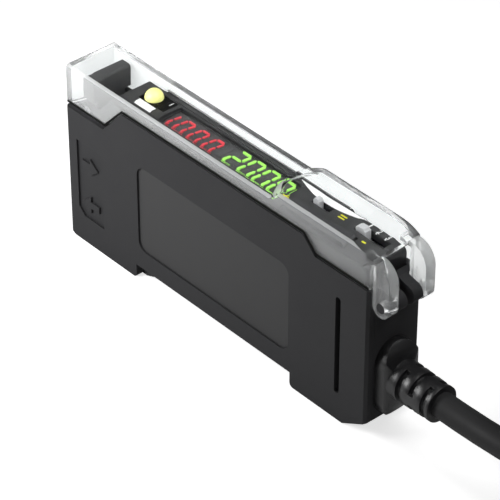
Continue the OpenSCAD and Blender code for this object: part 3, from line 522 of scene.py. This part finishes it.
def milky_and_painted_light(name, settings, more=0):
    """The cover's walls, which are milkier at the fibre end, or by a further share everywhere:
    milky plastic, whose fall from the fibre end to the cable end is painted light.
    """
    material, tree, shader = start_material(name)
    coordinates = add_node(tree, "ShaderNodeTexCoord")
    parts = add_node(tree, "ShaderNodeSeparateXYZ")
    tree.links.new(coordinates.outputs["Object"], parts.inputs["Vector"])
    # Painted light: the walls are milkier, and so paler, at the fibre end than at the cable end
    clear = mapped(
        tree, parts.outputs["X"], 1 - settings.milk_and_light_front - more, 1 - settings.milk_and_light_rear - more,
        LOW.x, HIGH.x)
    tree.links.new(clear, shader.inputs["Transmission Weight"])
    haze = noise(tree, 5 * MM, 2)
    tree.links.new(shaded_colour(tree, haze, settings.tint, 0.02), shader.inputs["Base Color"])
    tree.links.new(mapped(tree, haze, 0.06, 0.12), shader.inputs["Roughness"])
    shader.inputs["IOR"].default_value = MILKY_IOR
    let_lamps_through(tree, shader, 0.8)
    return material


# The operators


class StageOperator(bpy.types.Operator):
    """Adds the floor, the lamps, the world and the camera"""
    bl_idname = "amplifier.stage"
    bl_label = "Stage"

    def execute(self, context):
        lights = context.scene.amplifier_studio
        self.add_floor(lights)
        self.add_world(lights)
        self.add_lamp("key_lamp", *KEY_LAMP, lights.key_power)
        self.add_lamp("fill_lamp", *FILL_LAMP, lights.fill_power)
        self.add_camera(context.scene.amplifier_camera)
        context.scene.view_settings.view_transform = "Standard"
        return {"FINISHED"}

    def add_floor(self, lights):
        bpy.ops.mesh.primitive_plane_add(size=FLOOR_WIDTH, location=(0, 0, 0))
        floor = bpy.context.object
        floor.name = "studio_floor"
        material, tree, shader = start_material("floor_white")
        grey = lights.floor_grey
        cloud = noise(tree, 0.4, 2)
        tree.links.new(
            shaded_colour(tree, cloud, (grey, grey, grey), 0.005), shader.inputs["Base Color"])
        shader.inputs["Roughness"].default_value = 0.9
        shader.inputs["Specular IOR Level"].default_value = 0
        lift = add_node(tree, "ShaderNodeMath", operation="MULTIPLY")
        lift.inputs[1].default_value = FLOOR_LIFT
        tree.links.new(either(tree, "Is Camera Ray", "Is Transmission Ray"), lift.inputs[0])
        tree.links.new(lift.outputs[0], shader.inputs["Emission Strength"])
        shader.inputs["Emission Color"].default_value = (1, 1, 1, 1)
        floor.data.materials.append(material)

    def add_world(self, lights):
        world = bpy.data.worlds.new("studio")
        bpy.context.scene.world = world
        world.use_nodes = True
        tree = world.node_tree
        background = tree.nodes["Background"]
        white = either(tree, "Is Camera Ray", "Is Transmission Ray", "Is Glossy Ray")
        level = mapped(tree, white, lights.ambient, 1, 0, 1)
        tree.links.new(level, background.inputs["Strength"])

    def add_lamp(self, name, place, target, width, power):
        place, target = at(*place), at(*target)
        data = bpy.data.lights.new(name, "AREA")
        data.size = width * MM
        data.energy = power
        lamp = bpy.data.objects.new(name, data)
        bpy.context.scene.collection.objects.link(lamp)
        lamp.location = place
        lamp.rotation_euler = (target - place).to_track_quat("-Z", "Y").to_euler()

    def add_camera(self, settings):
        data = bpy.data.cameras.new("camera")
        data.lens = settings.lens
        camera = bpy.data.objects.new("camera", data)
        bpy.context.scene.collection.objects.link(camera)
        camera.location = settings.place
        camera.rotation_euler = (math.pi / 2 - settings.elevation, 0, settings.azimuth)
        data.clip_start, data.clip_end = 0.01, 10
        bpy.context.scene.camera = camera


def eased(share):
    """A share that starts and stops gently, from 0 to 1."""
    share = min(1, max(0, share))
    return share * share * (3 - 2 * share)


def on_circle(radius, degrees):
    angle = math.radians(degrees)
    return radius * Vector((math.cos(angle), math.sin(angle), 0))


def on_hank(phase, radius):
    """A place on one turn of the hank, from the middle of its left end."""
    quarter, share = divmod(phase % TURN_PHASES, 1)
    run = RUN * MM
    if quarter == 0:
        return Vector((run * share, -radius, 0))
    if quarter == 1:
        return Vector((run, 0, 0)) + on_circle(radius, 180 * share - 90)
    if quarter == 2:
        return Vector((run * (1 - share), radius, 0))
    return on_circle(radius, 180 * share + 90)


def cable_points(settings):
    """The cable's line: the free stretch, the hank and the tail in the hank's eye."""
    line = [at(*[a + b for a, b in zip(CABLE_EXIT, step)]) for step in CABLE_ROUTE]
    middle = at(CABLE_EXIT[0] + HANK_FREE, CABLE_EXIT[1], CABLE_EXIT[2] + HANK_RISE)
    middle += Vector((0, settings.turn_radius, 0))
    for i in range(LAST_PHASE * PHASE_STEPS + 1):
        phase = i / PHASE_STEPS
        moves = [(eased((phase - start) / (end - start)), *step) for start, end, *step in CHANGES]
        column = sum(share * inwards for share, inwards, _ in moves)
        layer = sum(share * up for share, _, up in moves)
        radius = settings.turn_radius - column * COLUMN_PITCH * MM
        line.append(middle + on_hank(phase, radius) + Vector((0, 0, layer * LAYER_PITCH * MM)))
    last = line[-1]
    for i in range(1, TAIL_STEPS + 1):
        share = i / TAIL_STEPS
        line.append(last - Vector((TAIL * share, TAIL_INWARDS * eased(share), 0)) * MM)
    return line


def add_curve(name, lines, radius, kind="POLY"):
    """A round cord along each line of points."""
    data = bpy.data.curves.new(name, "CURVE")
    data.dimensions = "3D"
    data.bevel_depth = radius
    data.bevel_resolution = 5
    data.use_fill_caps = True
    for line in lines:
        spline = data.splines.new(kind)
        spline.points.add(len(line) - 1)
        for point, place in zip(spline.points, line):
            point.co = (*place, 1)
        if kind == "NURBS":
            spline.order_u = 4
            spline.use_endpoint_u = True
            spline.resolution_u = 6
        spline.use_smooth = True
    o = bpy.data.objects.new(name, data)
    bpy.context.scene.collection.objects.link(o)
    return o


def to_mesh(o):
    """Makes a curve or a text a mesh."""
    select_only(o)
    bpy.ops.object.convert(target="MESH")


class CableOperator(bpy.types.Operator):
    """Adds the cable along its whole length, with its five bare leads and its tie"""
    bl_idname = "amplifier.cable"
    bl_label = "Cable"

    def execute(self, context):
        settings = context.scene.amplifier_cable
        line = cable_points(settings)
        cable = add_curve("cable_jacket", [line], settings.radius)
        jacket = moulded("jacket_black", settings.jacket, 0.6, 0.25 * MM, 0.004 * MM, 0.25)
        finish_piece(cable, "housing", jacket)
        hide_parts("cable", "cable_coil")
        leads = self.add_leads(settings, line[-1], line[-2])
        tie = dress("coil_tie", moulded("tie_black", (0.02, 0.02, 0.02), 0.35), PLATE_EDGE * MM)
        return {"FINISHED"}

    def add_leads(self, settings, end, before):
        """Five insulated leads that come out of the jacket, with bare tips."""
        heading = (end - before).normalized()
        aside = heading.cross(Vector((0, 0, 1)))
        low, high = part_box("lead_wires")
        radius = settings.lead_radius
        pitch = (high.y - low.y - 2 * radius) / (len(LEADS) - 1)
        covered, bare = [], []
        for i in range(len(LEADS)):
            turn = on_circle(LEAD_RING * MM, i * 360 / len(LEADS))
            start = end - heading * LEAD_INSIDE * MM + aside * turn.x + Vector((0, 0, turn.y))
            far = Vector((low.x, high.y - radius - pitch * i, radius))
            line = [
                start, *(start + heading * step * MM for step in LEAD_STRAIGHT),
                *(far + Vector(bend) * MM for bend in LEAD_BENDS), far]
            for k, point in enumerate(line):
                share = k / (len(line) - 1)
                point.z = max(radius, point.z * (1 - share) + radius * share)
            covered.append(line[:-1] + [far + Vector((LEAD_BARE * MM, 0, 0))])
            bare.append([far + Vector((x * MM, 0, 0)) for x in TIP_POINTS])
        wires = add_curve("lead_insulation", covered, radius, "NURBS")
        finish_piece(
            wires, "housing", *[
                printed(f"lead_{name}", colour, 0.4, 0.001 * MM)
                for name, colour in LEADS.items()])
        for i, spline in enumerate(wires.data.splines):
            spline.material_index = i
        to_mesh(wires)
        tips = add_curve("lead_tips", bare, TIP_SHARE * radius, "NURBS")
        finish_piece(tips, "housing", metal("lead_copper", (0.85, 0.45, 0.25)))
        to_mesh(tips)
        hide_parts("lead_wires")
        return [wires, tips]


class HousingOperator(bpy.types.Operator):
    """Gives the housing and its side plate their moulded plastic, and lays the bare label"""
    bl_idname = "amplifier.housing"
    bl_label = "Housing"

    def execute(self, context):
        plastics = context.scene.amplifier_plastics
        for node, name, edge in (
                ("main_housing", "housing_black", HOUSING_EDGE),
                ("side_cover", "side_cover_black", PLATE_EDGE)):
            dress(node, moulded(name, plastics.housing, 0.55, specular=0.12), edge * MM)
        self.add_label(plastics)
        return {"FINISHED"}

    def add_label(self, plastics):
        """A thin bare sheet with round corners on the floor of the side plate's field."""
        bpy.ops.mesh.primitive_cube_add(size=1)
        label = bpy.context.object
        label.name = "side_label"
        label.dimensions = Vector((LABEL_LENGTH, LABEL_THICK, LABEL_HEIGHT)) * MM
        label.location = at(
            LABEL_X + LABEL_LENGTH / 2, LABEL_DEPTH - LABEL_THICK / 2, LABEL_Z + LABEL_HEIGHT / 2)
        settle(label)
        edit(label)
        mark(label, edges=lambda a, b: abs(a.y - b.y) > LABEL_THICK * MM / 2)
        bpy.ops.mesh.bevel(offset=LABEL_ROUND * MM, segments=8)
        leave_edit()
        smooth(label)
        finish_piece(label, "housing", printed("label_grey", plastics.label, specular=0.12))


class DeckOperator(bpy.types.Operator):
    """Gives the deck, its film and the printed field their materials"""
    bl_idname = "amplifier.deck"
    bl_label = "Deck"

    def execute(self, context):
        plastics = context.scene.amplifier_plastics
        dress("top_deck", moulded("deck_black", plastics.deck, 0.35), SMALL_EDGE * MM)
        dress("face_film", printed("film_grey", plastics.film))
        dress("white_field", printed("field_white", (0.92, 0.92, 0.91), spread=0.02))
        bezel = printed("bezel_black", (0.006, 0.006, 0.006), 0.3, 0.001 * MM, specular=0.08)
        dress("led_bezel", bezel)
        return {"FINISHED"}


class SignsOperator(bpy.types.Operator):
    """Prints the plain white and yellow signs on the deck"""
    bl_idname = "amplifier.signs"
    bl_label = "Printed signs"

    def execute(self, context):
        prints = context.scene.amplifier_prints
        white = [self.add_sign(*sign) for sign in WHITE_SIGNS]
        white += [add_bar(*bar, FILM_TOP, FILM_TOP + SIGN_THICK) for bar in WHITE_BARS]
        black = [add_bar(*bar, FILM_TOP, FILM_TOP + FIELD_THICK) for bar in BLACK_BARS]
        yellow = [self.add_sign(*sign) for sign in YELLOW_SIGNS]
        for name, pieces, colour in (
                ("print_white", white, prints.white), ("print_yellow", yellow, prints.yellow),
                ("print_black", black, prints.black)):
            select_only(*pieces)
            if len(pieces) > 1:
                bpy.ops.object.join()
            sign = bpy.context.object
            sign.name = name
            ink = printed(name, colour, height=0.001 * MM, specular=0.1, spread=0.05)
            finish_piece(sign, "housing", ink)
        return {"FINISHED"}

    def add_sign(self, text, x, y, size):
        bpy.ops.object.select_all(action="DESELECT")
        bpy.ops.object.text_add(location=at(x, y, FILM_TOP + SIGN_THICK / 2))
        o = bpy.context.object
        o.data.body = text
        o.data.size = size * MM
        o.data.extrude = SIGN_THICK / 2 * MM
        o.data.align_x = "CENTER"
        o.data.align_y = "CENTER"
        to_mesh(o)
        settle(o)
        return o


class DisplayOperator(bpy.types.Operator):
    """Gives the window, the display blocks and the lit figures their materials"""
    bl_idname = "amplifier.display"
    bl_label = "Displays"

    def execute(self, context):
        lit = context.scene.amplifier_figures
        plastics = context.scene.amplifier_plastics
        dress("display_window", clear_plastic("window_clear", (0.97, 0.97, 0.97), WINDOW_IOR))
        # The display blocks are a paler copy of the film's colour: painted light for the shade
        # under the window
        lit_film = [WINDOW_PAINTED_LIGHT * c for c in plastics.film]
        block = printed("display_black", lit_film, 0.6, specular=0.1)
        dress("red_display", block)
        dress("green_display", block)
        dress("red_digits", glowing("digit_red", lit.red, lit.glow))
        dress("green_digits", glowing("digit_green", lit.green, lit.glow))
        ink = printed("window_print", plastics.film)
        self.add_border(ink)
        bars = [add_bar(*bar, WELL_LOW, WELL_TOP) for bar in WELL_BARS]
        select_only(*bars)
        bpy.ops.object.join()
        bpy.context.object.name = "well_bars"
        finish_piece(bpy.context.object, "housing", ink)
        return {"FINISHED"}

    def add_border(self, material):
        """The printed border on top of the window, which hides the well around the figures."""
        x0, y0, x1, y1 = WINDOW
        left, near, right, far = OPENING
        bpy.ops.mesh.primitive_plane_add(size=1)
        border = bpy.context.object
        border.name = "window_border"
        border.dimensions = (*(Vector((x1 - x0, y1 - y0)) * MM), 0)
        border.location = at((x0 + x1) / 2, (y0 + y1) / 2, FILM_TOP + PRINT)
        settle(border)
        edit(border)
        for place, normal in (
                (at(left, 0, FILM_TOP), (1, 0, 0)), (at(right, 0, FILM_TOP), (1, 0, 0)),
                (at(0, near, FILM_TOP), (0, 1, 0)), (at(0, far, FILM_TOP), (0, 1, 0))):
            bpy.ops.mesh.select_all(action="SELECT")
            bpy.ops.mesh.bisect(plane_co=place, plane_no=normal)
        bpy.context.tool_settings.mesh_select_mode = (False, False, True)
        bpy.ops.mesh.select_all(action="DESELECT")
        low, high = at(left, near, 0), at(right, far, 0)
        mark(border, faces=lambda c: low.x < c.x < high.x and low.y < c.y < high.y)
        bpy.ops.mesh.delete(type="FACE")
        leave_edit()
        add_modifier(border, "Thickness", "SOLIDIFY", thickness=PRINT * MM, offset=-1)
        apply_modifiers(border)
        finish_piece(border, "housing", material)


class OutputLightOperator(bpy.types.Operator):
    """Gives the output light's dome and lamp their materials"""
    bl_idname = "amplifier.output_light"
    bl_label = "Output light"

    def execute(self, context):
        lit = context.scene.amplifier_figures
        dress("output_led_lens", glowing("lens_amber", lit.amber, 0.25, 1.2 * MM))
        dress("output_led", glowing("led_white", (0.85, 0.85, 0.8), 0.3))
        return {"FINISHED"}


class CoverOperator(bpy.types.Operator):
    """Makes the clear hinged cover with its milky walls, their painted light, and a painted shadow
    along the near wall's foot
    """
    bl_idname = "amplifier.cover"
    bl_label = "Clear cover"

    def execute(self, context):
        settings = context.scene.amplifier_cover
        cover = copy_node("dust_cover", "clear_cover")
        round_edges(cover, settings.edge)
        apply_modifiers(cover)
        # The walls' milk fades towards the cable end, which is painted light; the rounded edges and
        # the far ear take the paler copy, a painted highlight
        finish_piece(
            cover, "dust_cover", clear_plastic("cover_clear", settings.tint, COVER_IOR),
            milky_and_painted_light("cover_milky_painted_light", settings), milky_and_painted_light("cover_painted_light", settings, 0.3),
            milky_and_painted_light("cover_ear", settings, 0.05))
        for face in cover.data.polygons:
            face.material_index = self.look_of(face)
        smooth(cover)
        self.add_painted_shadow()
        return {"FINISHED"}

    def look_of(self, face):
        """A wall is milky, the near ear a little more so, and a rounded edge and the far ear
        palest: painted light, a highlight on the edges and a paler look on the far ear.
        """
        if face.center.x > EARS_X:
            return EAR if face.center.y < 0 else PAINTED_LIGHT
        if abs(face.normal.z) < WALL_NORMAL:
            return WALL
        return PAINTED_LIGHT if WALL_NORMAL < face.normal.z < EDGE_NORMAL else CLEAR

    def add_painted_shadow(self):
        """A painted shadow: a black cord along the lower edge of the near wall, where the ledge
        under it lies in shade.
        """
        shadow_cord = add_curve("cover_painted_shadow", [[at(x, SHADOW_CORD_Y, z) for x, z in COVER_SHADOW_CORD]], SHADOW_CORD_Y * MM)
        to_mesh(shadow_cord)
        # Near black: the painted shadow of the shaded ledge under the near wall
        black = moulded("painted_shadow_black", (0.008, 0.008, 0.008), 0.6, specular=0.05)
        finish_piece(shadow_cord, "dust_cover", black)


class ClampOperator(bpy.types.Operator):
    """Gives the fibre clamp and the ports their materials"""
    bl_idname = "amplifier.clamp"
    bl_label = "Clamp and ports"

    def execute(self, context):
        lever = moulded("lever_black", (0.065, 0.065, 0.066), 0.5, specular=0.25)
        dress("clamp_lever", lever, PLATE_EDGE * MM)
        dress("clamp_pin", metal("pin_steel", (0.6, 0.6, 0.62)))
        dress("fibre_gripper", moulded("gripper_grey", (0.2, 0.2, 0.21), 0.5))
        dress("port_block", moulded("block_grey", (0.1, 0.1, 0.11), 0.5))
        dress("emitter_led", glowing("emitter_red", (0.8, 0.12, 0.08), 0.5))
        dress("receiver_diode", moulded("receiver_dark", (0.03, 0.03, 0.05), 0.15))
        return {"FINISHED"}


class ControlsOperator(bpy.types.Operator):
    """Gives the rocker, the knobs and the switches their materials"""
    bl_idname = "amplifier.controls"
    bl_label = "Controls"

    def execute(self, context):
        plastics = context.scene.amplifier_plastics
        steel = metal("switch_steel", (0.6, 0.61, 0.62))
        grey = moulded("knob_grey", plastics.knob, 0.35)
        dress("rocker_button", moulded("rocker_black", (0.05, 0.05, 0.052), 0.4), SMALL_EDGE * MM)
        for node in ("mode_knob", "output_knob"):
            dress(node, grey, SMALL_EDGE * MM)
        for node in ("button_switches", "mode_switch", "output_switch"):
            dress(node, steel)
        return {"FINISHED"}


class BoardOperator(bpy.types.Operator):
    """Gives the boards, the chips and the inner cores their materials"""
    bl_idname = "amplifier.boards"
    bl_label = "Boards"

    def execute(self, context):
        board = moulded("board_green", (0.02, 0.16, 0.07), 0.25, 1.2 * MM, 0.02 * MM, 0.5, 0.3)
        chip = moulded("chip_black", (0.03, 0.03, 0.03), 0.55, 0.15 * MM)
        for node in ("main_board", "display_board"):
            dress(node, board)
        for node in ("microcontroller", "voltage_regulator", "output_transistors"):
            dress(node, chip)
        dress("board_header", metal("header_gold", (0.75, 0.55, 0.22)))
        dress("cable_cores", moulded("core_brown", (0.25, 0.12, 0.06), 0.4))
        return {"FINISHED"}


class BootOperator(bpy.types.Operator):
    """Gives the cable boot its glossy rubber"""
    bl_idname = "amplifier.boot"
    bl_label = "Cable boot"

    def execute(self, context):
        rubber = moulded("boot_black", (0.010, 0.010, 0.011), 0.38, 0.6 * MM, 0.004 * MM, 0.8)
        dress("strain_relief", rubber, PLATE_EDGE * MM)
        return {"FINISHED"}


OPERATORS = (
    StageOperator, CableOperator, HousingOperator, DeckOperator, SignsOperator, DisplayOperator,
    OutputLightOperator, CoverOperator, ClampOperator, ControlsOperator, BoardOperator,
    BootOperator)


class AmplifierPanel(bpy.types.Panel):
    """Lists the steps that dress the amplifier"""
    bl_idname = "VIEW3D_PT_amplifier"
    bl_label = "Sensor amplifier"
    bl_space_type = "VIEW_3D"
    bl_region_type = "UI"
    bl_category = "Amplifier"

    def draw(self, context):
        for operator in OPERATORS:
            self.layout.operator(operator.bl_idname)


SETTINGS = {
    "amplifier_camera": CameraSettings,
    "amplifier_studio": StudioSettings,
    "amplifier_plastics": PlasticSettings,
    "amplifier_cover": CoverSettings,
    "amplifier_figures": FigureSettings,
    "amplifier_prints": PrintSettings,
    "amplifier_cable": CableSettings,
}


def register():
    for name, group in SETTINGS.items():
        bpy.utils.register_class(group)
        setattr(bpy.types.Scene, name, PointerProperty(type=group))
    for cls in (*OPERATORS, AmplifierPanel):
        bpy.utils.register_class(cls)


def unregister():
    for cls in (AmplifierPanel, *reversed(OPERATORS)):
        bpy.utils.unregister_class(cls)
    for name, group in reversed(SETTINGS.items()):
        delattr(bpy.types.Scene, name)
        bpy.utils.unregister_class(group)


def main():
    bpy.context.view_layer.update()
    register()
    for operator in OPERATORS:
        group, name = operator.bl_idname.split(".")
        if getattr(getattr(bpy.ops, group), name)() != {"FINISHED"}:
            raise RuntimeError(f"{operator.bl_label} didn't finish")


if __name__ == "__main__":
    main()
